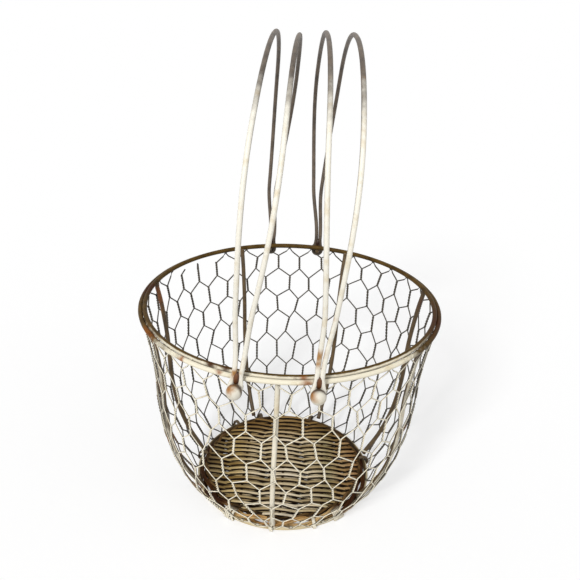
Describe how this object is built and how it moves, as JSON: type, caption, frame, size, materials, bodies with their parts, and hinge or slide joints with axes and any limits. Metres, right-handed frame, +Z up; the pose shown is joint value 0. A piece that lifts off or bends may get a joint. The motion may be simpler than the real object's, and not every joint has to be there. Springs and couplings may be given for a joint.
{
  "type": "wire egg basket",
  "caption": "Round wire basket with ribs, hexagonal netting, a woven base and two swinging double-wire handles.",
  "frame": {"origin": "on the ground under the middle of the basket", "axes": "+Z up, -Y towards the front, where the picture's camera stood, +X to the right as seen from the front"},
  "size_m": [0.2842, 0.3149, 0.4404],
  "materials": {
    "rim_wire": "worn paint over brown patina",
    "frame_wire": "worn cream paint",
    "net_wire": "worn cream paint on galvanised wire",
    "handle_wire": "worn cream paint with grey and rust patches",
    "ball_metal": "cream paint with rust at the pin",
    "border_cane": "dry tan cane",
    "woven_rush": "dull twisted rush with dark gaps"
  },
  "bodies": {
    "basket": {"outer_rim_ring": "rim_wire", "inner_rim_ring": "rim_wire", "foot_ring": "frame_wire", "rib_front": "frame_wire", "rib_front_right": "frame_wire", "rib_right": "frame_wire", "rib_back_right": "frame_wire", "rib_back_left": "frame_wire", "rib_left": "frame_wire", "rib_front_left": "frame_wire", "netting_panel_1": "net_wire", "netting_panel_2": "net_wire", "netting_panel_3": "net_wire", "netting_panel_4": "net_wire", "netting_panel_5": "net_wire", "netting_panel_6": "net_wire", "netting_panel_7": "net_wire", "border_strand_a": "border_cane", "border_strand_b": "border_cane", "woven_base": "woven_rush", "left_front_pivot_pin": "frame_wire", "left_back_pivot_pin": "frame_wire", "right_front_pivot_pin": "frame_wire", "right_back_pivot_pin": "frame_wire", "left_front_ball": "ball_metal", "left_back_ball": "ball_metal", "right_front_ball": "ball_metal", "right_back_ball": "ball_metal"},
    "left_handle": {"left_handle": "handle_wire"},
    "right_handle": {"right_handle": "handle_wire"}
  },
  "joints": [
    {"name": "left_handle_swing", "type": "hinge", "parent": "basket", "child": "left_handle", "pos_m": [-0.03241, 0.00143, 0.19245], "axis": [0.0555, 0.9985, 0], "range_deg": [-136, 1.5]},
    {"name": "right_handle_swing", "type": "hinge", "parent": "basket", "child": "right_handle", "pos_m": [0.02639, -0.00033, 0.19245], "axis": [0.0171, 0.9999, 0], "range_deg": [-1.5, 127]}
  ]
}
